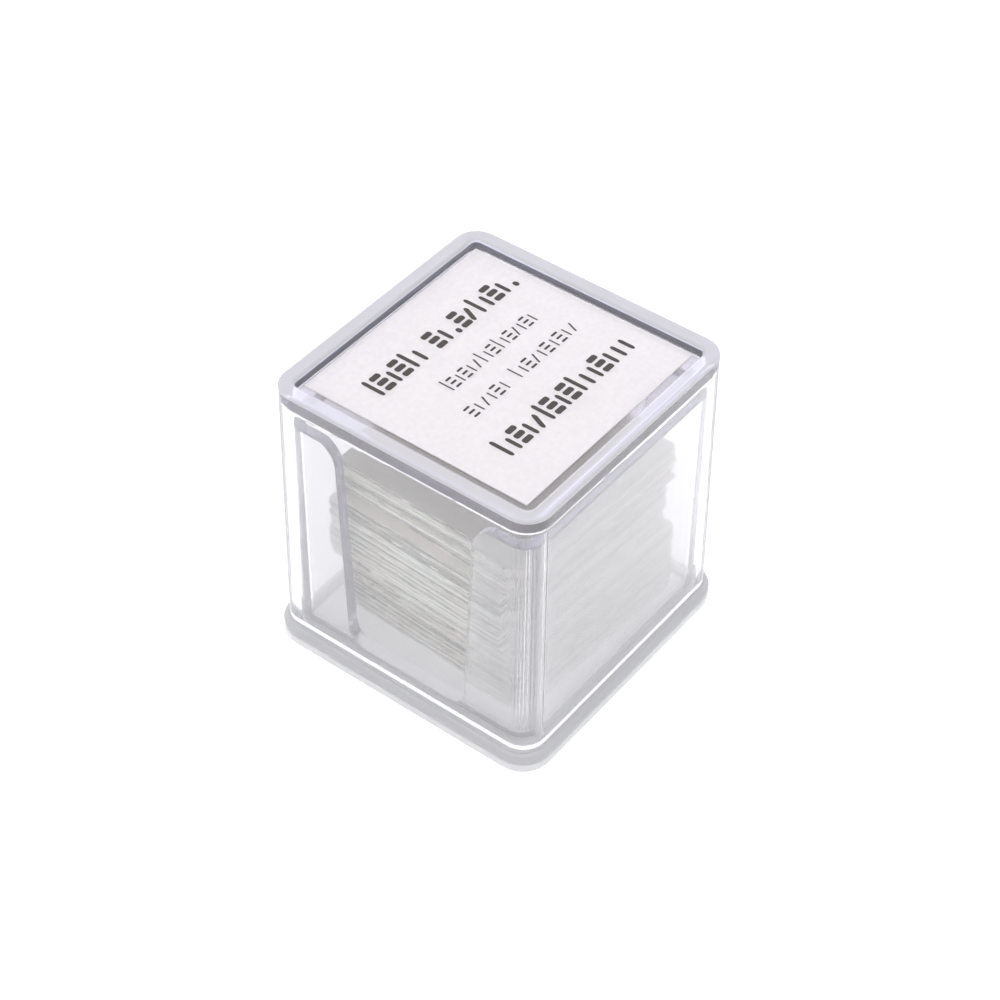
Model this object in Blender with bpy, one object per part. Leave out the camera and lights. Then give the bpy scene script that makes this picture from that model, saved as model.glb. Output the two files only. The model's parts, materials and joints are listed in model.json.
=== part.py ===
"""Square clear-plastic dispenser box of 18 mm cover glasses.

Frame: metres, +Z up, origin at the centre of the underside of the base.
+X is the reading direction of the label on the lid and +Y is the label's
upward direction.  The two finger slots of the tray face -X and +X.

Pieces: the base with its tray walls, the slip-over lid, the paper label in
the lid's recess, and the loose stack of 100 cover glasses.
"""

import math
import random

import bmesh
import bpy
from mathutils import Matrix, Vector

MM = 0.001

# ---- the cover glasses -----------------------------------------------------
GLASS_SIDE = 18.0 * MM       # standard square size
GLASS_T = 0.15 * MM          # No. 1 thickness, 0.13 to 0.16 mm
GLASS_GAP = 0.016 * MM       # air between two resting glasses
GLASS_PITCH = GLASS_T + GLASS_GAP
LOWER_COUNT = 44             # glasses that lie shifted to +X
UPPER_COUNT = 36             # glasses that lie shifted to -X
FANNED_COUNT = 19            # loose, slightly turned glasses on top
TOP_COUNT = 1                # the next glass to be taken
SINGLES_IN_FANNED = 13       # the topmost of the turned group, one by one
JITTER = 0.14 * MM           # how unevenly the edges of a group lie
JITTER_TURN = math.radians(0.35)
FANNED_TURN = math.radians(1.8)
STACK_TURN = math.radians(-2.5)   # the stack lies slightly askew
LOWER_AT = (0.70 * MM, -0.30 * MM)
UPPER_AT = (-0.80 * MM, -0.30 * MM)
FANNED_AT = (0.10 * MM, -0.30 * MM)
TOP_AT = (0.10 * MM, -0.25 * MM)

# ---- the base with its tray -------------------------------------------------
FLANGE_HALF = 13.60 * MM     # half the width of the base plate
FLANGE_R = 2.75 * MM         # its corner radius
FLANGE_T = 1.80 * MM         # its thickness
FLANGE_EDGE = 0.58 * MM      # rounding of its upper edge
FLANGE_FOOT = 0.20 * MM      # rounding of its lower edge
FLOOR_Z = 2.40 * MM          # the tray floor, which the stack rests on
TRAY_OUT_LOW = 11.70 * MM    # outer half width of the tray at its foot
TRAY_OUT_TOP = 11.62 * MM    # and at its top: moulding draft
TRAY_IN_LOW = 10.60 * MM     # inner half width at the floor
TRAY_IN_TOP = 10.68 * MM     # and at the top
TRAY_R = 1.25 * MM           # outer corner radius of the tray
TRAY_IN_R = 0.50 * MM        # inner corner radius
TRAY_TOP = 23.65 * MM        # top of the tray walls

# ---- the finger slots in the -X and +X walls --------------------------------
SLOT_Z = 2.58 * MM           # bottom of the slot, just over the floor
SLOT_HALF_LOW = 5.95 * MM    # half width at the bottom
SLOT_HALF_TOP = 6.70 * MM    # half width under the shoulders
SLOT_R = 1.70 * MM           # rounding of the bottom corners
SHOULDER_R = 2.20 * MM       # rounding of the wall beside the slot mouth
SLOT_STEPS = 7               # segments in each of these arcs

# ---- the lid -----------------------------------------------------------------
LID_Z = 2.10 * MM            # lower edge of the skirt, 0.3 mm over the plate
LID_TOP = 27.30 * MM         # top of the raised rim
LID_HALF_LOW = 13.08 * MM    # outer half width at the lower edge
LID_HALF_TOP = 12.87 * MM    # and at the top: moulding draft
LID_R = 2.20 * MM            # outer corner radius
LID_IN_LOW = 12.05 * MM      # inner half width at the lower edge
LID_IN_TOP = 11.86 * MM      # and under the top plate
LID_IN_R = 1.40 * MM         # inner corner radius
RECESS_HALF = 11.45 * MM     # half width of the recess for the label
RECESS_R = 0.58 * MM         # its corner radius
RECESS_DEPTH = 0.85 * MM     # from the rim down to the recess floor
TOP_PLATE_T = 1.00 * MM      # plastic under the recess
RIM_EDGE = 0.30 * MM         # rounding of both edges of the rim
LID_FOOT = 0.15 * MM         # rounding of the skirt's lower outer edge

# ---- the paper label ----------------------------------------------------------
LABEL_SIDE = 21.55 * MM
LABEL_T = 0.12 * MM
LABEL_AT = (0.30 * MM, 0.30 * MM)   # it lies towards the +X +Y corner
LABEL_LIFT = 0.02 * MM       # air under the paper, where its adhesive is

CORNER_STEPS = 8             # segments in a large corner
CUT = 1.0 * MM               # how far a cutter reaches past the surface


# ------------------------------------------------------------------ the scene

def clear_scene():
    for obj in list(bpy.data.objects):
        bpy.data.objects.remove(obj, do_unlink=True)


def collection(name):
    col = bpy.data.collections.new(name)
    bpy.context.scene.collection.children.link(col)
    return col


def material(name, colour, roughness, metallic=0.0, alpha=1.0,
             transmission=0.0, ior=1.5):
    mat = bpy.data.materials.new(name)
    mat.use_nodes = True
    bsdf = mat.node_tree.nodes["Principled BSDF"]
    bsdf.inputs["Base Color"].default_value = (*colour, 1.0)
    bsdf.inputs["Roughness"].default_value = roughness
    bsdf.inputs["Metallic"].default_value = metallic
    bsdf.inputs["Alpha"].default_value = alpha
    bsdf.inputs["Transmission Weight"].default_value = transmission
    bsdf.inputs["IOR"].default_value = ior
    mat.diffuse_color = (*colour, alpha)
    return mat


# -------------------------------------------------------------------- shapes

def tapered_block(z0, z1, half0, half1, radius, steps=CORNER_STEPS,
                  top_edge=0.0, foot_edge=0.0):
    """A square block with drafted sides and rounded vertical corners, as a
    mesh.  half0 and half1 are the half widths at z0 and z1."""
    bm = bmesh.new()
    bmesh.ops.create_cube(bm, size=2.0)
    for v in bm.verts:
        half, z = (half1, z1) if v.co.z > 0 else (half0, z0)
        v.co = Vector((v.co.x * half, v.co.y * half, z))
    upright = [e for e in bm.edges
               if abs(e.verts[0].co.z - e.verts[1].co.z) > (z1 - z0) * 0.5]
    bmesh.ops.bevel(bm, geom=upright, offset=radius, offset_type='OFFSET',
                    segments=steps, profile=0.5, affect='EDGES')
    for z, edge in ((z1, top_edge), (z0, foot_edge)):
        if edge > 0:
            ring = [e for e in bm.edges
                    if all(abs(v.co.z - z) < 1e-7 for v in e.verts)]
            bmesh.ops.bevel(bm, geom=ring, offset=edge, offset_type='OFFSET',
                            segments=4, profile=0.5, affect='EDGES')
    bmesh.ops.recalc_face_normals(bm, faces=bm.faces)
    mesh = bpy.data.meshes.new("block")
    bm.to_mesh(mesh)
    bm.free()
    return mesh


def slot_outline():
    """The slot's outline, seen along X: a tapering U with rounded bottom
    corners and a flared mouth, as (y, z) points, counter-clockwise."""
    side = []
    for k in range(SLOT_STEPS + 1):
        a = math.radians(-90 + 90 * k / SLOT_STEPS)
        side.append((SLOT_HALF_LOW - SLOT_R + SLOT_R * math.cos(a),
                     SLOT_Z + SLOT_R + SLOT_R * math.sin(a)))
    for k in range(SLOT_STEPS + 1):
        a = math.radians(180 - 90 * k / SLOT_STEPS)
        side.append((SLOT_HALF_TOP + SHOULDER_R + SHOULDER_R * math.cos(a),
                     TRAY_TOP - SHOULDER_R + SHOULDER_R * math.sin(a)))
    side.append((SLOT_HALF_TOP + SHOULDER_R, TRAY_TOP + CUT))
    return side + [(-y, z) for y, z in reversed(side)]


def outline_solid(name, points, half_depth, col):
    """A flat outline extruded along X, as a closed mesh object."""
    curve = bpy.data.curves.new(name + "_outline", 'CURVE')
    curve.dimensions = '2D'
    curve.fill_mode = 'BOTH'
    curve.extrude = half_depth
    spline = curve.splines.new('POLY')
    spline.points.add(len(points) - 1)
    for point, (y, z) in zip(spline.points, points):
        point.co = (y, z, 0.0, 1.0)
    spline.use_cyclic_u = True
    flat = bpy.data.objects.new(name + "_outline", curve)
    flat.rotation_euler = (math.radians(90), 0.0, math.radians(90))
    col.objects.link(flat)
    bpy.context.view_layer.update()
    solid = bpy.data.meshes.new_from_object(
        flat.evaluated_get(bpy.context.evaluated_depsgraph_get()))
    bm = bmesh.new()
    bm.from_mesh(solid)
    bmesh.ops.remove_doubles(bm, verts=bm.verts, dist=1e-7)
    bmesh.ops.recalc_face_normals(bm, faces=bm.faces)
    bm.to_mesh(solid)
    bm.free()
    obj = bpy.data.objects.new(name, solid)
    obj.matrix_world = flat.matrix_world.copy()
    col.objects.link(obj)
    bpy.data.objects.remove(flat, do_unlink=True)
    return obj


def add(name, mesh, col, mat=None, parent=None):
    mesh.name = name
    obj = bpy.data.objects.new(name, mesh)
    col.objects.link(obj)
    if mat:
        mesh.materials.clear()
        mesh.materials.append(mat)
    if parent:
        obj.parent = parent
    return obj


def guide(obj):
    obj.hide_render = True
    obj.display_type = 'WIRE'
    return obj


def boolean(obj, cutter, operation):
    mod = obj.modifiers.new(operation.title() + "_" + cutter.name, 'BOOLEAN')
    mod.operation = operation
    mod.solver = 'EXACT'
    mod.object = cutter


def settle(obj):
    """Replace an object's mesh by what its modifiers make of it."""
    bpy.context.view_layer.update()
    mesh = bpy.data.meshes.new_from_object(
        obj.evaluated_get(bpy.context.evaluated_depsgraph_get()))
    obj.modifiers.clear()
    old, obj.data = obj.data, mesh
    bpy.data.meshes.remove(old)
    mesh.name = obj.name
    return mesh


def round_rim(mesh, z, width):
    """Round every edge where the flat face at height z meets a side."""
    bm = bmesh.new()
    bm.from_mesh(mesh)
    bmesh.ops.remove_doubles(bm, verts=bm.verts, dist=2e-6)
    rim = [e for e in bm.edges
           if all(abs(v.co.z - z) < 1e-7 for v in e.verts)
           and len(e.link_faces) == 2
           and abs(e.link_faces[0].normal.z - e.link_faces[1].normal.z) > 0.5]
    bmesh.ops.bevel(bm, geom=rim, offset=width, offset_type='OFFSET',
                    segments=4, profile=0.5, affect='EDGES')
    bm.to_mesh(mesh)
    bm.free()


def smooth(obj, angle=35.0):
    obj.data.shade_smooth()
    obj.data.set_sharp_from_angle(angle=math.radians(angle))


def empty(name, at, col, parent=None):
    obj = bpy.data.objects.new(name, None)
    obj.empty_display_size = 0.004
    obj.location = at
    col.objects.link(obj)
    if parent:
        obj.parent = parent
    return obj


# -------------------------------------------------------------------- pieces

def make_base(col, cutters, mat):
    base = add("base_tray",
               tapered_block(0.0, FLANGE_T, FLANGE_HALF, FLANGE_HALF,
                             FLANGE_R, top_edge=FLANGE_EDGE,
                             foot_edge=FLANGE_FOOT), col, mat)
    foot = FLANGE_T * 0.5
    walls = guide(add("tray_walls",
                      tapered_block(foot, TRAY_TOP, TRAY_OUT_LOW,
                                    TRAY_OUT_TOP, TRAY_R, steps=6), cutters))
    hollow = guide(add("tray_hollow",
                       tapered_block(FLOOR_Z, TRAY_TOP + CUT, TRAY_IN_LOW,
                                     TRAY_IN_TOP, TRAY_IN_R, steps=4),
                       cutters))
    slot = guide(outline_solid("finger_slots", slot_outline(),
                               TRAY_OUT_LOW + CUT, cutters))
    boolean(base, walls, 'UNION')
    boolean(base, hollow, 'DIFFERENCE')
    boolean(base, slot, 'DIFFERENCE')
    settle(base)
    smooth(base)
    return base


def make_lid(col, cutters, mat, parent):
    lid = add("lid",
              tapered_block(LID_Z, LID_TOP, LID_HALF_LOW, LID_HALF_TOP, LID_R,
                            foot_edge=LID_FOOT), col, mat)
    ceiling = LID_TOP - RECESS_DEPTH - TOP_PLATE_T
    hollow = guide(add("lid_hollow",
                       tapered_block(LID_Z - CUT, ceiling, LID_IN_LOW,
                                     LID_IN_TOP, LID_IN_R, steps=6,
                                     top_edge=0.25 * MM), cutters))
    recess = guide(add("label_recess",
                       tapered_block(LID_TOP - RECESS_DEPTH, LID_TOP + CUT,
                                     RECESS_HALF, RECESS_HALF, RECESS_R,
                                     steps=4), cutters))
    boolean(lid, hollow, 'DIFFERENCE')
    boolean(lid, recess, 'DIFFERENCE')
    round_rim(settle(lid), LID_TOP, RIM_EDGE)
    smooth(lid)
    lid.parent = parent
    return lid


def plate(name, side, thickness, at, turn, col, mat, parent):
    """A thin square sheet whose underside centre is at the point given."""
    bm = bmesh.new()
    bmesh.ops.create_cube(bm, size=1.0)
    bmesh.ops.scale(bm, vec=(side, side, thickness), verts=bm.verts)
    bmesh.ops.translate(bm, vec=(0.0, 0.0, thickness * 0.5), verts=bm.verts)
    mesh = bpy.data.meshes.new(name)
    bm.to_mesh(mesh)
    bm.free()
    obj = add(name, mesh, col, mat, parent)
    obj.location = Vector(at) - parent.location
    obj.rotation_euler = (0.0, 0.0, turn)
    return obj


def make_glasses(col, mats, parents):
    """The stack, from the tray floor up.  A sheet of two stands for two
    glasses that lie exactly one on the other."""
    rng = random.Random(18)
    z = FLOOR_Z + GLASS_GAP
    groups = (
        ("lower", LOWER_COUNT, 0, LOWER_AT, JITTER, JITTER_TURN),
        ("upper", UPPER_COUNT, 0, UPPER_AT, JITTER, JITTER_TURN),
        ("fanned", FANNED_COUNT, SINGLES_IN_FANNED, FANNED_AT, 1.2 * JITTER,
         FANNED_TURN),
        ("top", TOP_COUNT, TOP_COUNT, TOP_AT, 0.0, 0.0),
    )
    for group, count, singles, centre, spread, turn in groups:
        pairs = (count - singles) // 2
        for k in range(pairs + singles):
            layers = 2 if k < pairs else 1
            thickness = layers * GLASS_PITCH - GLASS_GAP
            kind = "pair" if layers == 2 else "glass"
            name = "{}_{}_{:02d}".format(kind, group, k + 1)
            if group == "top":
                name = "glass_top"
            at = (centre[0] + rng.uniform(-spread, spread),
                  centre[1] + rng.uniform(-spread, spread), z)
            plate(name, GLASS_SIDE, thickness, at,
                  STACK_TURN + rng.uniform(-turn, turn), col, mats[group],
                  parents[group])
            z += layers * GLASS_PITCH
    return z


def main():
    clear_scene()
    parts = collection("cover_glass_box")
    cutters = collection("cutters")

    clear = material("clear_polystyrene", (0.90, 0.90, 0.94), 0.06,
                     alpha=0.35, transmission=1.0, ior=1.59)
    lid_mat = material("clear_polystyrene_lid", (0.91, 0.90, 0.95), 0.05,
                       alpha=0.30, transmission=1.0, ior=1.59)
    paper = material("label_paper", (0.88, 0.87, 0.90), 0.75)
    glass = {g: material("cover_glass_" + g, c, 0.03, alpha=0.5,
                         transmission=1.0, ior=1.52)
             for g, c in (("lower", (0.78, 0.80, 0.77)),
                          ("upper", (0.80, 0.81, 0.78)),
                          ("fanned", (0.82, 0.83, 0.80)),
                          ("top", (0.84, 0.85, 0.83)))}

    lid_frame = empty("lid_lift", (0.0, 0.0, LID_Z), parts)
    stack_top = FLOOR_Z + GLASS_GAP + GLASS_PITCH * (
        LOWER_COUNT + UPPER_COUNT)
    parents = {
        "lower": empty("lower_glasses_slide",
                       (*LOWER_AT, FLOOR_Z + GLASS_GAP), parts),
        "upper": empty("upper_glasses_slide",
                       (*UPPER_AT, FLOOR_Z + GLASS_GAP
                        + GLASS_PITCH * LOWER_COUNT), parts),
        "fanned": empty("fanned_glasses_turn", (*FANNED_AT, stack_top),
                        parts),
        "top": empty("top_glass_lift",
                     (*TOP_AT, stack_top + GLASS_PITCH * FANNED_COUNT),
                     parts),
    }

    make_base(parts, cutters, clear)
    lid = make_lid(parts, cutters, lid_mat, lid_frame)
    lid.matrix_parent_inverse = Matrix.Translation(lid_frame.location
                                                   ).inverted()
    plate("label", LABEL_SIDE, LABEL_T,
          (*LABEL_AT, LID_TOP - RECESS_DEPTH + LABEL_LIFT), 0.0, parts,
          paper, lid_frame)
    make_glasses(parts, glass, parents)
    bpy.context.view_layer.update()


main()
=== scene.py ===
"""Looks of the cover glass box: clear moulded plastic, paper label, stack of
thin glasses, on a plain pale floor."""

import json
import math
import random

import bmesh
import bpy
import numpy as np
from mathutils import Matrix, Vector


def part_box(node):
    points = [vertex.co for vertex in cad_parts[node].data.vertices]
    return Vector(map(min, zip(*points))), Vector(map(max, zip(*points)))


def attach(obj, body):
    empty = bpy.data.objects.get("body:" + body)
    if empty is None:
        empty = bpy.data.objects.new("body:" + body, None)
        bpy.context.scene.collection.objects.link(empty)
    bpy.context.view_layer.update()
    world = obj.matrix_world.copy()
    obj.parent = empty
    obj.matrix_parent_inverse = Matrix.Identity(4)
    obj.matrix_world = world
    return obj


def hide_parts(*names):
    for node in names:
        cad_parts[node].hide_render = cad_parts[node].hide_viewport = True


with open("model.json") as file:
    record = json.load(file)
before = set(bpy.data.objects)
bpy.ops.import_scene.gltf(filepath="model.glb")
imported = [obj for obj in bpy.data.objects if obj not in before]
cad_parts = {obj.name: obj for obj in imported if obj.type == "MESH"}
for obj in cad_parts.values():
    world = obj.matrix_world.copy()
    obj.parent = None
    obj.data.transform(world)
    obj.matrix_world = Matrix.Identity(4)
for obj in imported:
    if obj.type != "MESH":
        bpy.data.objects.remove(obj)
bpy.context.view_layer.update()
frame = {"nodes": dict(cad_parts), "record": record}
MM = 0.001
scene = bpy.context.scene
NODES = frame["nodes"]


# ------------------------------------------------------------------ helpers

def new_mat(name):
    mat = bpy.data.materials.new(name)
    mat.use_nodes = True
    nt = mat.node_tree
    return mat, nt, nt.nodes["Principled BSDF"]


def node(nt, kind, **settings):
    n = nt.nodes.new(kind)
    for key, value in settings.items():
        setattr(n, key, value)
    return n


def ring(half, r, z, steps):
    """A rounded square at height z, counter-clockwise from +X -Y."""
    pts = []
    for cx, cy, a0 in ((1, -1, -90), (1, 1, 0), (-1, 1, 90), (-1, -1, 180)):
        for k in range(steps + 1):
            a = math.radians(a0 + 90.0 * k / steps)
            pts.append((cx * (half - r) + r * math.cos(a),
                        cy * (half - r) + r * math.sin(a), z))
    return pts


def loft(name, profile, steps, mats, caps=(0, 0)):
    """A closed solid through rounded squares (half, r, z, slot), capped at
    both ends.  slot is the material of the band that starts at that ring."""
    bm = bmesh.new()
    rings = [[bm.verts.new(p) for p in ring(h, r, z, steps)]
             for h, r, z, _ in profile]
    for (a, b), (_, _, _, slot) in zip(zip(rings, rings[1:]), profile):
        for i in range(len(a)):
            j = (i + 1) % len(a)
            f = bm.faces.new((a[i], a[j], b[j], b[i]))
            f.material_index = slot
    f = bm.faces.new(list(reversed(rings[0])))
    f.material_index = caps[0]
    f = bm.faces.new(rings[-1])
    f.material_index = caps[1]
    bmesh.ops.recalc_face_normals(bm, faces=bm.faces)
    mesh = bpy.data.meshes.new(name)
    bm.to_mesh(mesh)
    bm.free()
    obj = bpy.data.objects.new(name, mesh)
    scene.collection.objects.link(obj)
    for mat in mats:
        mesh.materials.append(mat)
    return obj


def arc(h0, z0, r0, h1, z1, r1, slot, steps, outward):
    """Rings of a quarter fillet from (h0, z0) to (h1, z1); outward bulges
    away from the corner that the two straight runs would share."""
    out = []
    for k in range(steps + 1):
        t = math.radians(90.0 * k / steps)
        if outward == "z_then_h":      # leaves along z, arrives along h
            h = h0 + (h1 - h0) * (1 - math.cos(t))
            z = z0 + (z1 - z0) * math.sin(t)
        else:                           # leaves along h, arrives along z
            h = h0 + (h1 - h0) * math.sin(t)
            z = z0 + (z1 - z0) * (1 - math.cos(t))
        r = r0 + (r1 - r0) * k / steps
        out.append((h, max(r, 0.02 * MM), z, slot))
    return out


def finish_shape(obj, angle=32.0, weighted=True):
    obj.data.shade_smooth()
    obj.data.set_sharp_from_angle(angle=math.radians(angle))
    for face in obj.data.polygons:
        if face.area > 1.5 * MM * MM:        # the flat walls and plates
            face.use_smooth = False
    if weighted:
        mod = obj.modifiers.new("normals", 'WEIGHTED_NORMAL')
        mod.keep_sharp = True
        mod.weight = 80


# ---------------------------------------------------------------- materials

def plastic(name, colour, absorb, density, rough=0.03, wave=0.006, seed=0.0,
            grain=0.0, grain_scale=2600.0, clear=0.97):
    """Clear moulded polystyrene: flow waviness, fine scuffs in the gloss, a
    slight milky haze and a faint lavender absorption in long paths."""
    mat, nt, bsdf = new_mat(name)
    bsdf.inputs["Base Color"].default_value = (*colour, 1)
    bsdf.inputs["Transmission Weight"].default_value = clear
    bsdf.inputs["IOR"].default_value = 1.59
    coord = node(nt, "ShaderNodeTexCoord")
    move = node(nt, "ShaderNodeMapping")
    move.inputs["Location"].default_value = (seed, seed * 0.7, seed * 1.3)
    nt.links.new(coord.outputs["Object"], move.inputs["Vector"])
    flow = node(nt, "ShaderNodeTexNoise")
    flow.inputs["Scale"].default_value = 140.0
    flow.inputs["Detail"].default_value = 2.0
    nt.links.new(move.outputs["Vector"], flow.inputs["Vector"])
    scuff = node(nt, "ShaderNodeTexNoise")
    scuff.inputs["Scale"].default_value = 2600.0
    scuff.inputs["Detail"].default_value = 4.0
    scuff.inputs["Roughness"].default_value = 0.7
    nt.links.new(move.outputs["Vector"], scuff.inputs["Vector"])
    gloss = node(nt, "ShaderNodeMapRange")
    gloss.inputs["From Min"].default_value = 0.45
    gloss.inputs["From Max"].default_value = 0.80
    gloss.inputs["To Min"].default_value = rough
    gloss.inputs["To Max"].default_value = rough + 0.10
    nt.links.new(scuff.outputs["Fac"], gloss.inputs["Value"])
    nt.links.new(gloss.outputs["Result"], bsdf.inputs["Roughness"])
    bump = node(nt, "ShaderNodeBump")
    bump.inputs["Strength"].default_value = wave
    bump.inputs["Distance"].default_value = 0.0008
    nt.links.new(flow.outputs["Fac"], bump.inputs["Height"])
    last = bump
    if grain > 0:
        pebble = node(nt, "ShaderNodeTexNoise")
        pebble.inputs["Scale"].default_value = grain_scale
        pebble.inputs["Detail"].default_value = 3.0
        nt.links.new(move.outputs["Vector"], pebble.inputs["Vector"])
        fine = node(nt, "ShaderNodeBump")
        fine.inputs["Strength"].default_value = grain
        fine.inputs["Distance"].default_value = 0.00005
        nt.links.new(pebble.outputs["Fac"], fine.inputs["Height"])
        nt.links.new(bump.outputs["Normal"], fine.inputs["Normal"])
        last = fine
    nt.links.new(last.outputs["Normal"], bsdf.inputs["Normal"])
    vol = node(nt, "ShaderNodeVolumeAbsorption")
    vol.inputs["Color"].default_value = (*absorb, 1)
    vol.inputs["Density"].default_value = density
    nt.links.new(vol.outputs["Volume"],
                 nt.nodes["Material Output"].inputs["Volume"])
    return mat


LAVENDER = (0.68, 0.66, 0.90)
lid_mat = plastic("clear_polystyrene_lid", (0.995, 0.992, 1.0), LAVENDER,
                  40.0, wave=0.003, seed=0.3, clear=0.940)
base_mat = plastic("clear_polystyrene_base", (0.995, 0.995, 1.0), LAVENDER,
                   36.0, wave=0.0, seed=1.1, clear=0.945)
# Painted shade: a dark grey, mostly opaque copy of the plastic on the back
# inner walls of the label recess stands in for the shadow gap between the
# label and the wall.
recess_painted_shade_mat = plastic("recess_wall_painted_shade", (0.17, 0.175, 0.19), LAVENDER, 26.0,
                     rough=0.12, seed=2.3, clear=0.25)
# Painted light: the rim's light lavender comes from a strong milky diffuse
# part, standing in for the light that the clear rim carries and reflects.
rim_painted_light_mat = plastic("lid_rim_painted_light", (0.94, 0.93, 0.97), LAVENDER, 40.0, seed=4.7,
                  clear=0.62)
recess_floor_mat = plastic("recess_floor", (0.93, 0.90, 0.86), LAVENDER,
                           18.0, rough=0.10, seed=6.3, grain=0.15,
                           grain_scale=4500.0, clear=0.85)
tray_wall_mat = plastic("tray_wall", (0.995, 0.995, 1.0), LAVENDER, 20.0,
                        rough=0.075, wave=0.0, seed=5.2, clear=0.93)
# Painted highlight: the foot of the tray wall is mostly white diffuse,
# standing in for the bright reflection where the tray floor meets the wall.
tray_foot_painted_highlight_mat = plastic("tray_foot_painted_highlight", (0.99, 0.99, 1.0), LAVENDER, 8.0,
                        rough=0.14, wave=0.0, seed=5.9, clear=0.30)
plate_mat = plastic("base_plate_top", (0.50, 0.50, 0.52), LAVENDER, 10.0,
                    rough=0.34, wave=0.01, seed=3.1, grain=0.10,
                    grain_scale=5500.0, clear=0.40)
plate_side_mat = plastic("base_plate_side", (0.80, 0.80, 0.815), LAVENDER,
                         8.0, rough=0.15, wave=0.01, seed=8.3, grain=0.05,
                         grain_scale=4500.0, clear=0.45)
# Painted highlight: the lowest band of the lid's outer wall is mostly white
# diffuse, standing in for the bright band of light piped down the wall to its
# edge.
lid_foot_painted_highlight_mat = plastic("lid_foot_painted_highlight", (0.99, 0.99, 1.0), LAVENDER, 8.0, rough=0.10,
                   seed=9.1, clear=0.30)
# Painted light: the underside and the tray floor get a white diffuse part that
# brightens the inside of the box, in place of light that would reach it.
underside_painted_light_mat = plastic("base_underside_painted_light", (0.99, 0.99, 0.995), LAVENDER,
                        4.0, rough=0.20, seed=7.7, clear=0.65)

paper, nt, bsdf = new_mat("label_paper")
bsdf.inputs["Roughness"].default_value = 1.0
bsdf.inputs["Transmission Weight"].default_value = 0.55   # thin, not opaque
coord = node(nt, "ShaderNodeTexCoord")
fibre = node(nt, "ShaderNodeTexNoise")
fibre.inputs["Scale"].default_value = 2400.0
fibre.inputs["Detail"].default_value = 6.0
nt.links.new(coord.outputs["Object"], fibre.inputs["Vector"])
ramp = node(nt, "ShaderNodeValToRGB")
ramp.color_ramp.elements[0].position = 0.3
ramp.color_ramp.elements[0].color = (0.830, 0.815, 0.850, 1)
ramp.color_ramp.elements[1].position = 0.7
ramp.color_ramp.elements[1].color = (0.890, 0.875, 0.910, 1)
nt.links.new(fibre.outputs["Fac"], ramp.inputs["Fac"])
nt.links.new(ramp.outputs["Color"], bsdf.inputs["Base Color"])
bump = node(nt, "ShaderNodeBump")
bump.inputs["Strength"].default_value = 0.15
bump.inputs["Distance"].default_value = 0.00003
nt.links.new(fibre.outputs["Fac"], bump.inputs["Height"])
nt.links.new(bump.outputs["Normal"], bsdf.inputs["Normal"])

paper_back, nt, bsdf = new_mat("label_back")
bsdf.inputs["Roughness"].default_value = 1.0
bsdf.inputs["Transmission Weight"].default_value = 0.55
coord = node(nt, "ShaderNodeTexCoord")
glue = node(nt, "ShaderNodeTexNoise")
glue.inputs["Scale"].default_value = 900.0
glue.inputs["Detail"].default_value = 4.0
nt.links.new(coord.outputs["Object"], glue.inputs["Vector"])
ramp = node(nt, "ShaderNodeValToRGB")
ramp.color_ramp.elements[0].color = (0.93, 0.90, 0.85, 1)
ramp.color_ramp.elements[1].color = (0.99, 0.97, 0.93, 1)
nt.links.new(glue.outputs["Fac"], ramp.inputs["Fac"])
nt.links.new(ramp.outputs["Color"], bsdf.inputs["Base Color"])

ink, nt, bsdf = new_mat("label_ink")
bsdf.inputs["Roughness"].default_value = 0.55
coord = node(nt, "ShaderNodeTexCoord")
mottle = node(nt, "ShaderNodeTexNoise")
mottle.inputs["Scale"].default_value = 3000.0
mottle.inputs["Detail"].default_value = 3.0
nt.links.new(coord.outputs["Object"], mottle.inputs["Vector"])
ramp = node(nt, "ShaderNodeValToRGB")
ramp.color_ramp.elements[0].color = (0.018, 0.014, 0.012, 1)
ramp.color_ramp.elements[1].color = (0.050, 0.040, 0.036, 1)
nt.links.new(mottle.outputs["Fac"], ramp.inputs["Fac"])
nt.links.new(ramp.outputs["Color"], bsdf.inputs["Base Color"])


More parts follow.
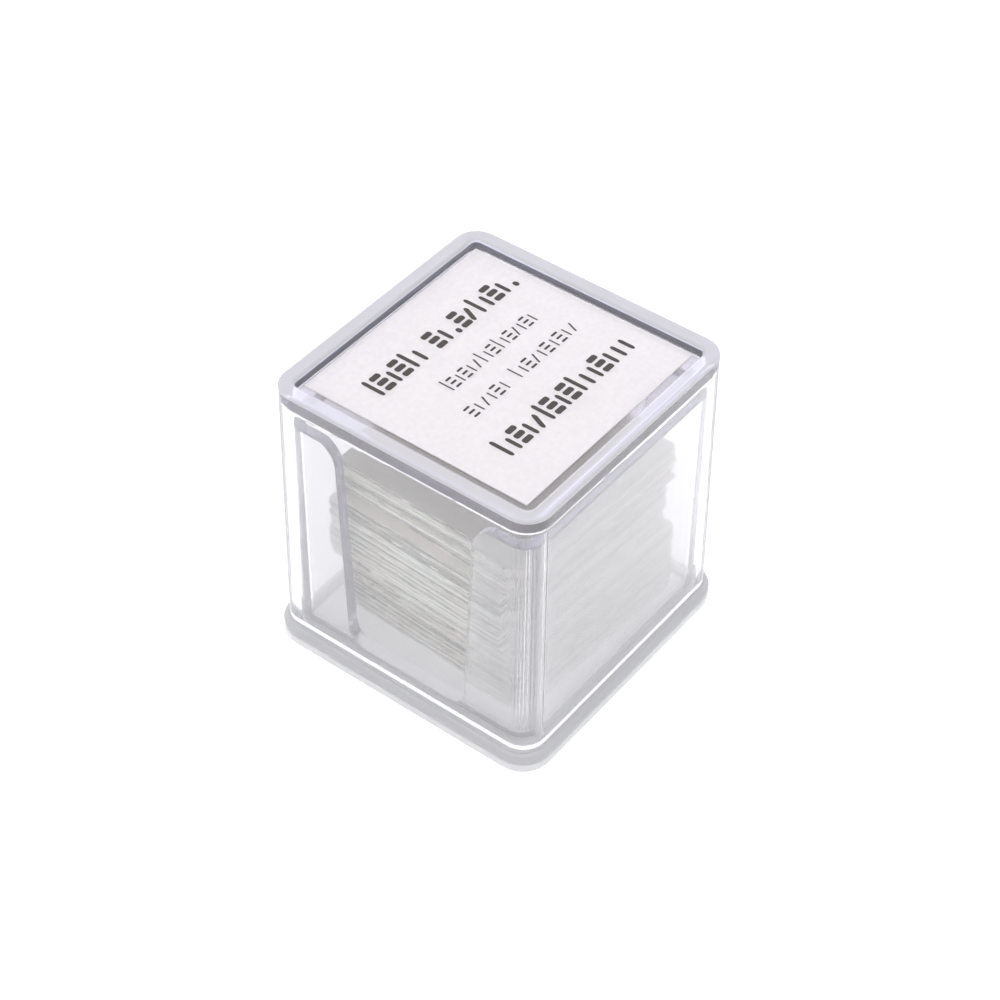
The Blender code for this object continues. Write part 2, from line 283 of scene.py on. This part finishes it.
def stack_material(name, tint, dark):
    """Edges of many thin glasses: each sheet has its own tone, with glints,
    darker chips along its edge and a faint play of pink and green."""
    mat, nt, bsdf = new_mat(name)
    tone = node(nt, "ShaderNodeAttribute", attribute_name="tone")
    coord = node(nt, "ShaderNodeTexCoord")

    def noise(scale, detail):
        stretch = node(nt, "ShaderNodeMapping")
        stretch.inputs["Scale"].default_value = scale
        nt.links.new(coord.outputs["Object"], stretch.inputs["Vector"])
        n = node(nt, "ShaderNodeTexNoise")
        n.inputs["Scale"].default_value = 1.0
        n.inputs["Detail"].default_value = detail
        nt.links.new(stretch.outputs["Vector"], n.inputs["Vector"])
        return n

    streak = noise((520.0, 520.0, 12000.0), 5.0)
    cloud = noise((260.0, 260.0, 420.0), 2.0)
    add = node(nt, "ShaderNodeMath", operation='MULTIPLY_ADD')
    nt.links.new(streak.outputs["Fac"], add.inputs[0])
    add.inputs[1].default_value = 0.75
    nt.links.new(tone.outputs["Fac"], add.inputs[2])
    ramp = node(nt, "ShaderNodeValToRGB")
    els = ramp.color_ramp.elements
    els[0].position = 0.36
    els[0].color = (*dark, 1)
    els[1].position = 0.98
    els[1].color = (*tint, 1)
    mid = els.new(0.56)
    mid.color = (*[d * 0.30 + c * 0.70 for c, d in zip(tint, dark)], 1)
    nt.links.new(add.outputs["Value"], ramp.inputs["Fac"])
    hue = node(nt, "ShaderNodeValToRGB")
    hue.color_ramp.elements[0].position = 0.35
    hue.color_ramp.elements[0].color = (0.955, 1.0, 0.975, 1)
    hue.color_ramp.elements[1].position = 0.65
    hue.color_ramp.elements[1].color = (1.0, 0.972, 0.95, 1)
    nt.links.new(cloud.outputs["Fac"], hue.inputs["Fac"])
    mix = node(nt, "ShaderNodeMix", data_type='RGBA', blend_type='MULTIPLY')
    mix.inputs[0].default_value = 1.0
    nt.links.new(ramp.outputs["Color"], mix.inputs[6])
    nt.links.new(hue.outputs["Color"], mix.inputs[7])
    nt.links.new(mix.outputs[2], bsdf.inputs["Base Color"])
    bsdf.inputs["Roughness"].default_value = 0.22
    bsdf.inputs["IOR"].default_value = 1.52
    return mat


stack_mat = stack_material("cover_glass_edges", (0.94, 0.93, 0.89),
                           (0.17, 0.175, 0.165))
# Painted light: the top faces of the sheets are a bright beige that stands in
# for the warm light passing through the thin label onto the stack.
sheet_top_painted_light_mat = stack_material("cover_glass_faces_painted_light", (0.98, 0.94, 0.88),
                          (0.84, 0.80, 0.74))

# The topmost glass: partly clear, partly a beige-white diffuse that is painted
# light, standing in for the light that comes through the thin label; dust
# noise varies its roughness.
top_glass_painted_light_mat, nt, bsdf = new_mat("cover_glass_loose_painted_light")
bsdf.inputs["Base Color"].default_value = (0.99, 0.975, 0.94, 1)
bsdf.inputs["Roughness"].default_value = 0.02
bsdf.inputs["IOR"].default_value = 1.52
bsdf.inputs["Transmission Weight"].default_value = 0.75
coord = node(nt, "ShaderNodeTexCoord")
dust = node(nt, "ShaderNodeTexNoise")
dust.inputs["Scale"].default_value = 900.0
dust.inputs["Detail"].default_value = 5.0
nt.links.new(coord.outputs["Object"], dust.inputs["Vector"])
haze = node(nt, "ShaderNodeMapRange")
haze.inputs["From Min"].default_value = 0.5
haze.inputs["From Max"].default_value = 0.9
haze.inputs["To Min"].default_value = 0.01
haze.inputs["To Max"].default_value = 0.15
nt.links.new(dust.outputs["Fac"], haze.inputs["Value"])
nt.links.new(haze.outputs["Result"], bsdf.inputs["Roughness"])


# ------------------------------------------------------------------ the base

lo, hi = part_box("base_tray")
FLANGE = hi.x
TRAY_TOP = hi.z
base_profile = []
base_profile += arc(FLANGE - 0.20 * MM, 0.0, 2.55 * MM,
                    FLANGE, 0.20 * MM, 2.75 * MM, 3, 4, "h_then_z")
base_profile.append((FLANGE, 2.75 * MM, 0.85 * MM, 1))
base_profile += arc(FLANGE, 1.22 * MM, 2.75 * MM,
                    FLANGE - 0.58 * MM, 1.80 * MM, 2.17 * MM, 1, 6,
                    "z_then_h")
base_profile[-1] = base_profile[-1][:3] + (3,)
# The tray wall's foot, from z 1.80 to 2.55 mm, takes the painted highlight
# material.
base_profile += arc(11.85 * MM, 1.80 * MM, 1.40 * MM,
                    11.70 * MM, 1.95 * MM, 1.25 * MM, 5, 3, "h_then_z")
base_profile.append((11.6975 * MM, 1.25 * MM, 2.55 * MM, 4))
base_profile += arc(11.62 * MM, TRAY_TOP - 0.15 * MM, 1.25 * MM,
                    11.47 * MM, TRAY_TOP, 1.10 * MM, 0, 3, "z_then_h")
base_profile += arc(10.83 * MM, TRAY_TOP, 0.65 * MM,
                    10.68 * MM, TRAY_TOP - 0.15 * MM, 0.5 * MM, 0, 3,
                    "h_then_z")
base_profile[-1] = base_profile[-1][:3] + (4,)
base_profile += arc(10.60 * MM, 2.65 * MM, 0.5 * MM,
                    10.35 * MM, 2.40 * MM, 0.3 * MM, 0, 4, "z_then_h")
base = loft("base_moulding", base_profile, 10,
            [base_mat, plate_mat, underside_painted_light_mat, plate_side_mat,
             tray_wall_mat, tray_foot_painted_highlight_mat],
            caps=(2, 2))


def slot_points(steps=14):
    side = []
    low, top, rb, rs = 5.95 * MM, 6.70 * MM, 1.7 * MM, 2.2 * MM
    z0 = 2.58 * MM
    for k in range(steps + 1):
        a = math.radians(-90 + 90 * k / steps)
        side.append((low - rb + rb * math.cos(a), z0 + rb + rb * math.sin(a)))
    for k in range(steps + 1):
        a = math.radians(180 - 90 * k / steps)
        side.append((top + rs + rs * math.cos(a),
                     TRAY_TOP - rs + rs * math.sin(a)))
    side.append((top + rs, TRAY_TOP + 1 * MM))
    return side + [(-y, z) for y, z in reversed(side)]


def prism_x(name, pts, x0, x1):
    bm = bmesh.new()
    a = [bm.verts.new((x0, y, z)) for y, z in pts]
    b = [bm.verts.new((x1, y, z)) for y, z in pts]
    bm.faces.new(a)
    bm.faces.new(list(reversed(b)))
    for i in range(len(pts)):
        j = (i + 1) % len(pts)
        bm.faces.new((a[j], a[i], b[i], b[j]))
    bmesh.ops.recalc_face_normals(bm, faces=bm.faces)
    mesh = bpy.data.meshes.new(name)
    bm.to_mesh(mesh)
    bm.free()
    obj = bpy.data.objects.new(name, mesh)
    scene.collection.objects.link(obj)
    return obj


def apply_modifiers(obj):
    bpy.context.view_layer.update()
    mesh = bpy.data.meshes.new_from_object(
        obj.evaluated_get(bpy.context.evaluated_depsgraph_get()))
    obj.modifiers.clear()
    old, obj.data = obj.data, mesh
    bpy.data.meshes.remove(old)


cutter = prism_x("slot_cutter", slot_points(), -12.7 * MM, 12.7 * MM)
cut = base.modifiers.new("slot", 'BOOLEAN')
cut.operation = 'DIFFERENCE'
cut.solver = 'EXACT'
cut.object = cutter
apply_modifiers(base)
bpy.data.objects.remove(cutter, do_unlink=True)
edge = base.modifiers.new("slot_edges", 'BEVEL')
edge.width = 0.10 * MM
edge.segments = 2
edge.limit_method = 'ANGLE'
edge.angle_limit = math.radians(55)
edge.harden_normals = False
apply_modifiers(base)
finish_shape(base)
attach(base, "base")
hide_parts("base_tray")

# ------------------------------------------------------------------- the lid

lo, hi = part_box("lid")
TOP, FOOT = hi.z, lo.z
FLOOR = TOP - 0.85 * MM
lid_profile = []
lid_profile += arc(11.35 * MM, FLOOR, 0.5 * MM,
                   11.45 * MM, FLOOR + 0.10 * MM, 0.58 * MM, 1, 3,
                   "h_then_z")
lid_profile += arc(11.45 * MM, TOP - 0.30 * MM, 0.58 * MM,
                   11.75 * MM, TOP, 0.88 * MM, 2, 5, "z_then_h")
lid_profile += arc(12.57 * MM, TOP, 1.90 * MM,
                   12.87 * MM, TOP - 0.30 * MM, 2.2 * MM, 2, 5, "h_then_z")
lid_profile[-1] = lid_profile[-1][:3] + (0,)
# The lowest 0.6 mm of the lid's outer wall and its bottom fillet take the
# painted highlight material.
lid_profile.append((13.075 * MM, 2.2 * MM, FOOT + 0.60 * MM, 3))
lid_profile += arc(13.08 * MM, FOOT + 0.15 * MM, 2.2 * MM,
                   12.93 * MM, FOOT, 2.05 * MM, 3, 3, "z_then_h")
lid_profile += arc(12.13 * MM, FOOT, 1.48 * MM,
                   12.05 * MM, FOOT + 0.08 * MM, 1.40 * MM, 0, 2,
                   "h_then_z")
CEIL = FLOOR - 1.00 * MM
lid_profile += arc(11.86 * MM, CEIL - 0.30 * MM, 1.40 * MM,
                   11.56 * MM, CEIL, 1.10 * MM, 0, 5, "z_then_h")
lid = loft("lid_moulding", lid_profile, 12,
           [lid_mat, recess_painted_shade_mat, rim_painted_light_mat, lid_foot_painted_highlight_mat, recess_floor_mat],
           caps=(4, 0))
# Painted shade mask: the recess walls on the -X and -Y sides go back to the
# clear lid plastic, so only the back walls (+X, +Y) keep the painted shade.
for face in lid.data.polygons:
    if face.material_index == 1 and (face.center.x < -11.2 * MM
                                     or face.center.y < -11.2 * MM):
        face.material_index = 0
finish_shape(lid)
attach(lid, "lid")
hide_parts("lid")

# ----------------------------------------------------------------- the label

lo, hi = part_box("label")
rng = random.Random(5)
bm = bmesh.new()
N = 40
th = hi.z - lo.z


def lift(x, y):
    """The paper lies flat but for slightly lifted edges."""
    u = max(abs(x - (lo.x + hi.x) / 2), abs(y - (lo.y + hi.y) / 2)
            ) / ((hi.x - lo.x) / 2)
    return 0.02 * MM * max(0.0, (u - 0.85) / 0.15) ** 2


grid_t = [[None] * (N + 1) for _ in range(N + 1)]
grid_b = [[None] * (N + 1) for _ in range(N + 1)]
for i in range(N + 1):
    for j in range(N + 1):
        x = lo.x + (hi.x - lo.x) * i / N
        y = lo.y + (hi.y - lo.y) * j / N
        dz = lift(x, y)
        grid_t[i][j] = bm.verts.new((x, y, hi.z - 0.02 * MM + dz))
        grid_b[i][j] = bm.verts.new((x, y, lo.z + dz))
for i in range(N):
    for j in range(N):
        bm.faces.new((grid_t[i][j], grid_t[i + 1][j], grid_t[i + 1][j + 1],
                      grid_t[i][j + 1]))
        bm.faces.new((grid_b[i][j], grid_b[i][j + 1], grid_b[i + 1][j + 1],
                      grid_b[i + 1][j]))
for k in range(N):
    bm.faces.new((grid_b[k][0], grid_b[k + 1][0], grid_t[k + 1][0],
                  grid_t[k][0]))
    bm.faces.new((grid_t[k][N], grid_t[k + 1][N], grid_b[k + 1][N],
                  grid_b[k][N]))
    bm.faces.new((grid_t[0][k], grid_t[0][k + 1], grid_b[0][k + 1],
                  grid_b[0][k]))
    bm.faces.new((grid_b[N][k], grid_b[N][k + 1], grid_t[N][k + 1],
                  grid_t[N][k]))
bmesh.ops.recalc_face_normals(bm, faces=bm.faces)
mesh = bpy.data.meshes.new("label_sheet")
bm.to_mesh(mesh)
bm.free()
label = bpy.data.objects.new("label_sheet", mesh)
scene.collection.objects.link(label)
mesh.materials.append(paper)
mesh.materials.append(paper_back)
for face in mesh.polygons:
    if face.normal.z < -0.5:
        face.material_index = 1
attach(label, "lid")
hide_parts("label")
LABEL_TOP = hi.z - 0.02 * MM
LABEL_C = ((lo.x + hi.x) / 2, (lo.y + hi.y) / 2)

# Four lines of plain marks stand for the print: words made of short strokes.


def stroke(bm, x0, y0, x1, y1, w):
    """A rounded bar of ink between two points on the label."""
    d = Vector((x1 - x0, y1 - y0, 0))
    n = Vector((-d.y, d.x, 0)).normalized() * (w / 2)
    u = d.normalized()
    a = math.atan2(u.y, u.x)
    pts = []
    for k in range(5):
        t = a - math.pi / 2 + math.pi * k / 4
        pts.append((x1 + math.cos(t) * w / 2 * 0.6 - 0, y1
                    + math.sin(t) * w / 2))
    for k in range(5):
        t = a + math.pi / 2 + math.pi * k / 4
        pts.append((x0 + math.cos(t) * w / 2 * 0.6, y0
                    + math.sin(t) * w / 2))
    z0, z1 = LABEL_TOP + 0.001 * MM, LABEL_TOP + 0.008 * MM
    top = [bm.verts.new((x, y, z1)) for x, y in pts]
    bot = [bm.verts.new((x, y, z0)) for x, y in pts]
    bm.faces.new(top)
    bm.faces.new(list(reversed(bot)))
    for i in range(len(pts)):
        j = (i + 1) % len(pts)
        bm.faces.new((bot[i], bot[j], top[j], top[i]))


def print_line(bm, x0, x1, y, height, w, pattern):
    """Words as runs of marks.  | tall, i short, : two dashes, / slanted,
    . dot, - one dash, space a gap."""
    n = len(pattern)
    step = (x1 - x0) / n
    for k, c in enumerate(pattern):
        cx = x0 + (k + 0.5) * step
        if c == "|":
            stroke(bm, cx, y + w / 2, cx, y + height - w / 2, w)
        elif c == "i":
            stroke(bm, cx, y + w / 2, cx, y + height * 0.70 - w / 2, w)
        elif c == "/":
            stroke(bm, cx - step * 0.22, y + w / 2, cx + step * 0.22,
                   y + height * 0.72 - w / 2, w)
        elif c == ":":
            for f in (0.0, 0.34, 0.68):
                stroke(bm, cx - step * 0.36, y + height * f + w / 2,
                       cx + step * 0.36, y + height * f + w / 2, w * 0.9)
        elif c == "-":
            stroke(bm, cx - step * 0.3, y + height * 0.36, cx + step * 0.3,
                   y + height * 0.36, w)
        elif c == ".":
            stroke(bm, cx - w * 0.1, y + w / 2, cx + w * 0.1, y + w / 2, w)


bm = bmesh.new()
K = 1.0548 * MM
print_line(bm, -7.6 * K, 9.5 * K, 5.15 * K, 2.25 * K, 0.58 * K,
           "|:i:|i :i.:/|i:i.")
print_line(bm, -3.9 * K, 6.9 * K, 1.5 * K, 1.5 * K, 0.22 * K,
           "|:i:i/|i:|i:/i:i")
print_line(bm, -5.0 * K, 7.9 * K, -1.55 * K, 1.5 * K, 0.22 * K,
           ":i/i:i |i:/i:i:i/")
print_line(bm, -6.9 * K, 8.9 * K, -6.15 * K, 2.25 * K, 0.58 * K,
           "|i:i/|:i:|ii:iii")
bmesh.ops.recalc_face_normals(bm, faces=bm.faces)
mesh = bpy.data.meshes.new("label_print")
bm.to_mesh(mesh)
bm.free()
printed = bpy.data.objects.new("label_print", mesh)
scene.collection.objects.link(printed)
mesh.materials.append(ink)
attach(printed, "lid")

# --------------------------------------------------------------- the glasses

GLASS_T = 0.15 * MM
GAP = 0.016 * MM


def corners(name):
    """The four corners of a sheet's underside, counter-clockwise, and its
    lowest and highest z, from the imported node."""
    co = [v.co for v in NODES[name].data.vertices]
    z0, z1 = min(c.z for c in co), max(c.z for c in co)
    low = [c for c in co if c.z < (z0 + z1) / 2]
    mid = sum((Vector((c.x, c.y, 0)) for c in low), Vector()) / len(low)
    unique = []
    for c in low:
        if all((c - u).length > 1e-5 for u in unique):
            unique.append(c)
    unique.sort(key=lambda c: math.atan2(c.y - mid.y, c.x - mid.x))
    return [Vector((c.x, c.y)) for c in unique], z0, z1


def sheet_outline(quad, rng, cuts=14):
    """The sheet's outline with the small nicks of scored and broken glass."""
    mid = sum(quad, Vector((0, 0))) / 4
    pts = []
    for k in range(4):
        a, b = quad[k], quad[(k + 1) % 4]
        inward = (mid - (a + b) / 2).normalized()
        for i in range(cuts):
            t = (i + rng.uniform(-0.3, 0.3) * (i > 0)) / cuts
            p = a + (b - a) * t
            nick = rng.uniform(0.0, 0.02) * MM
            if i == 0:
                p = p + (mid - p).normalized() * rng.uniform(0.02, 0.12) * MM
            elif rng.random() < 0.10:
                nick += rng.uniform(0.03, 0.12) * MM
            pts.append(p + inward * nick)
    return pts


def add_sheet(bm, tone, quad, z0, z1, rng, tones, index=0):
    pts = sheet_outline(quad, rng)
    bot = [bm.verts.new((p.x, p.y, z0)) for p in pts]
    top = [bm.verts.new((p.x, p.y, z1)) for p in pts]
    base_tone = rng.choice(tones)
    faces = [bm.faces.new(top), bm.faces.new(list(reversed(bot)))]
    vals = [0.6, 0.5]
    for i in range(len(pts)):
        j = (i + 1) % len(pts)
        faces.append(bm.faces.new((bot[i], bot[j], top[j], top[i])))
        v = base_tone + rng.uniform(-0.05, 0.05)
        # Painted glints: about one edge segment in twenty-five gets a much
        # brighter tone.
        if rng.random() < 0.04:
            v += 0.35
        vals.append(v)
    for k, (f, v) in enumerate(zip(faces, vals)):
        # The top face of each sheet takes the painted light material, unless
        # the whole sheet is clear glass.
        f.material_index = 1 if k == 0 and index == 0 else index
        for loop in f.loops:
            loop[tone] = (v, v, v, 1.0)


def stack(name, body, names, mats, seed, wobble, clear=0):
    rng = random.Random(seed)
    bm = bmesh.new()
    tone = bm.loops.layers.float_color.new("tone")
    tones = (-0.06, 0.02, 0.12, 0.24, 0.38, 0.55)
    quads = sorted((corners(n) for n in names), key=lambda item: item[1])
    for order, (quad, z0, z1) in enumerate(quads):
        index = 2 if order >= len(quads) - clear else 0
        mid = sum(quad, Vector((0, 0))) / 4
        layers = 2 if (z1 - z0) > 0.2 * MM else 1
        for k in range(layers):
            turn = math.radians(rng.uniform(-0.2, 0.2)) * (k > 0)
            shift = Vector((rng.uniform(-wobble, wobble),
                            rng.uniform(-wobble, wobble))) * (k > 0)
            c, s = math.cos(turn), math.sin(turn)
            q = [mid + shift + Vector(((p - mid).x * c - (p - mid).y * s,
                                       (p - mid).x * s + (p - mid).y * c))
                 for p in quad]
            za = z0 + k * (GLASS_T + GAP)
            add_sheet(bm, tone, q, za, za + GLASS_T, rng, tones, index)
    bmesh.ops.recalc_face_normals(bm, faces=bm.faces)
    mesh = bpy.data.meshes.new(name)
    bm.to_mesh(mesh)
    bm.free()
    obj = bpy.data.objects.new(name, mesh)
    scene.collection.objects.link(obj)
    for mat in mats:
        mesh.materials.append(mat)
    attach(obj, body)
    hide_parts(*names)
    return obj


groups = frame["record"]["behaviour"]["bodies"]
stack("glasses_lower", "lower_glasses", groups["lower_glasses"],
      [stack_mat, sheet_top_painted_light_mat], 11, 0.05 * MM)
stack("glasses_upper", "upper_glasses", groups["upper_glasses"],
      [stack_mat, sheet_top_painted_light_mat], 12, 0.05 * MM)
stack("glasses_fanned", "fanned_glasses", groups["fanned_glasses"],
      [stack_mat, sheet_top_painted_light_mat], 13, 0.05 * MM)
stack("glass_topmost", "top_glass", groups["top_glass"],
      [stack_mat, sheet_top_painted_light_mat, top_glass_painted_light_mat], 14, 0.0, clear=1)

# ------------------------------------------------------------ floor and light

floor_mat, nt, bsdf = new_mat("floor_paper")
bsdf.inputs["Base Color"].default_value = (0.70, 0.70, 0.70, 1)
bsdf.inputs["Roughness"].default_value = 0.9
bsdf.inputs["Emission Color"].default_value = (1.0, 1.0, 1.0, 1)
bsdf.inputs["Emission Strength"].default_value = 0.48   # a lit table
bpy.ops.mesh.primitive_plane_add(size=3.0, location=(0, 0, -0.00002))
floor = bpy.context.object
floor.name = "floor"
floor.data.materials.append(floor_mat)

world = bpy.data.worlds.new("studio")
scene.world = world
world.use_nodes = True
wt = world.node_tree
bg = wt.nodes["Background"]
bg.inputs["Strength"].default_value = 1.0
coord = node(wt, "ShaderNodeTexCoord")
split = node(wt, "ShaderNodeSeparateXYZ")
wt.links.new(coord.outputs["Generated"], split.inputs["Vector"])
sky = node(wt, "ShaderNodeValToRGB")
els = sky.color_ramp.elements
els[0].position = 0.0
els[0].color = (1.42, 1.42, 1.44, 1)
els[1].position = 1.0
els[1].color = (1.42, 1.42, 1.42, 1)
mid = els.new(0.30)
mid.color = (1.42, 1.42, 1.43, 1)
wt.links.new(split.outputs["Z"], sky.inputs["Fac"])
wt.links.new(sky.outputs["Color"], bg.inputs["Color"])


def area(name, at, target, size, energy, colour=(1, 1, 1)):
    data = bpy.data.lights.new(name, 'AREA')
    data.shape = 'SQUARE'
    data.size = size
    data.energy = energy
    data.color = colour
    obj = bpy.data.objects.new(name, data)
    scene.collection.objects.link(obj)
    obj.location = at
    d = Vector(target) - Vector(at)
    obj.rotation_euler = d.to_track_quat('-Z', 'Y').to_euler()
    return obj


area("softbox", (-0.10, 0.15, 0.60), (0, 0, 0.01), 0.60, 0.6)

# ----------------------------------------------------------------- the camera

W = 25.79 * MM
AZ, EL = math.radians(-52.906), math.radians(44.01)
DIST, FOCAL = 7.859 * W, 2495.3
TX, TY, ROLL, HALF_H = 0.0026 * W, -0.0203 * W, math.radians(0.704), 0.5282 * W
back = Vector((math.sin(AZ) * math.cos(EL), -math.cos(AZ) * math.cos(EL),
               math.sin(EL)))
right = Vector((math.cos(AZ), math.sin(AZ), 0))
up = back.cross(right)
r2 = right * math.cos(ROLL) + up * math.sin(ROLL)
u2 = up * math.cos(ROLL) - right * math.sin(ROLL)
data = bpy.data.cameras.new("camera")
data.sensor_width = 36.0
data.lens = FOCAL * 36.0 / 1000.0
data.clip_start = 0.001
data.clip_end = 20.0
cam = bpy.data.objects.new("camera", data)
scene.collection.objects.link(cam)
eye = Vector((0, 0, HALF_H)) + back * DIST + r2 * TX + u2 * TY
m = Matrix.Identity(4)
for row in range(3):
    m[row][0], m[row][1], m[row][2], m[row][3] = (r2[row], u2[row],
                                                  back[row], eye[row])
cam.matrix_world = m
scene.camera = cam

scene.view_settings.view_transform = 'Standard'
scene.view_settings.look = 'None'
scene.cycles.max_bounces = 40
scene.cycles.transmission_bounces = 40
scene.cycles.glossy_bounces = 12
scene.cycles.diffuse_bounces = 6
scene.cycles.transparent_max_bounces = 16

bpy.context.view_layer.update()
